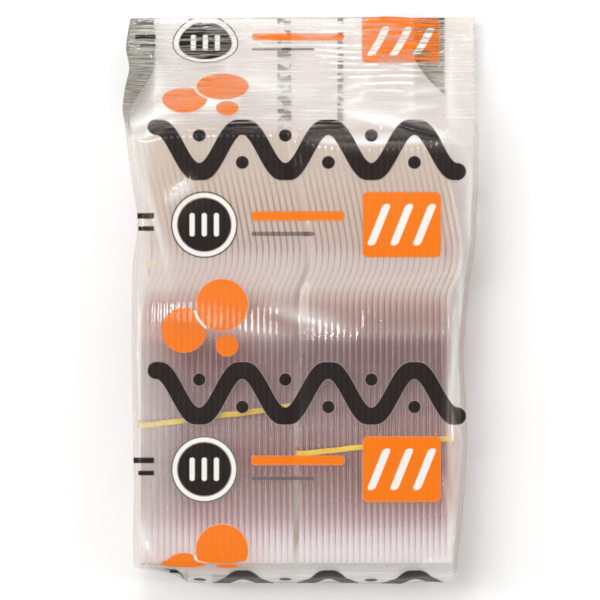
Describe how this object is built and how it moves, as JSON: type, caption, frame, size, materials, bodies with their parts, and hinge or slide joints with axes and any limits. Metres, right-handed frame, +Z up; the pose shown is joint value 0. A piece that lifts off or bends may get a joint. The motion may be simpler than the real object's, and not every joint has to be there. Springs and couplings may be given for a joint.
{
  "type": "plastic cutlery pack",
  "caption": "Clear film bag with side gussets, holding nested clear plastic forks in banded bundles, laid head to tail in two layers.",
  "frame": {"origin": "under the middle of the bag, on the surface that the pack lies on", "axes": "+Y along the pack towards the neck of the bag, +Z up through its thickness, +X across it"},
  "size_m": [0.1414, 0.2254, 0.0413],
  "materials": {
    "clear_plastic": "clear moulded polystyrene, polished",
    "clear_film": "clear printed film with soft creases",
    "yellow_rubber": "matt natural rubber"
  },
  "bodies": {
    "root": {"fork_left_01": "clear_plastic", "fork_left_02": "clear_plastic", "fork_left_03": "clear_plastic", "fork_left_04": "clear_plastic", "fork_left_05": "clear_plastic", "fork_left_06": "clear_plastic", "fork_left_07": "clear_plastic", "fork_left_08": "clear_plastic", "fork_left_09": "clear_plastic", "fork_left_10": "clear_plastic", "fork_left_11": "clear_plastic", "fork_left_12": "clear_plastic", "fork_left_13": "clear_plastic", "fork_left_14": "clear_plastic", "fork_left_15": "clear_plastic", "fork_left_16": "clear_plastic", "fork_left_17": "clear_plastic", "fork_left_18": "clear_plastic", "fork_left_19": "clear_plastic", "fork_left_20": "clear_plastic", "fork_left_21": "clear_plastic", "fork_left_22": "clear_plastic", "fork_left_23": "clear_plastic", "fork_left_24": "clear_plastic", "fork_left_25": "clear_plastic", "fork_right_01": "clear_plastic", "fork_right_02": "clear_plastic", "fork_right_03": "clear_plastic", "fork_right_04": "clear_plastic", "fork_right_05": "clear_plastic", "fork_right_06": "clear_plastic", "fork_right_07": "clear_plastic", "fork_right_08": "clear_plastic", "fork_right_09": "clear_plastic", "fork_right_10": "clear_plastic", "fork_right_11": "clear_plastic", "fork_right_12": "clear_plastic", "fork_right_13": "clear_plastic", "fork_right_14": "clear_plastic", "fork_right_15": "clear_plastic", "fork_right_16": "clear_plastic", "fork_right_17": "clear_plastic", "fork_right_18": "clear_plastic", "fork_right_19": "clear_plastic", "fork_right_20": "clear_plastic", "fork_right_21": "clear_plastic", "fork_right_22": "clear_plastic", "fork_right_23": "clear_plastic", "fork_right_24": "clear_plastic", "fork_right_25": "clear_plastic", "rubber_band_left": "yellow_rubber", "rubber_band_right": "yellow_rubber", "rear_bundle_left": "clear_plastic", "rear_bundle_right": "clear_plastic", "film_bag": "clear_film"}
  },
  "joints": []
}
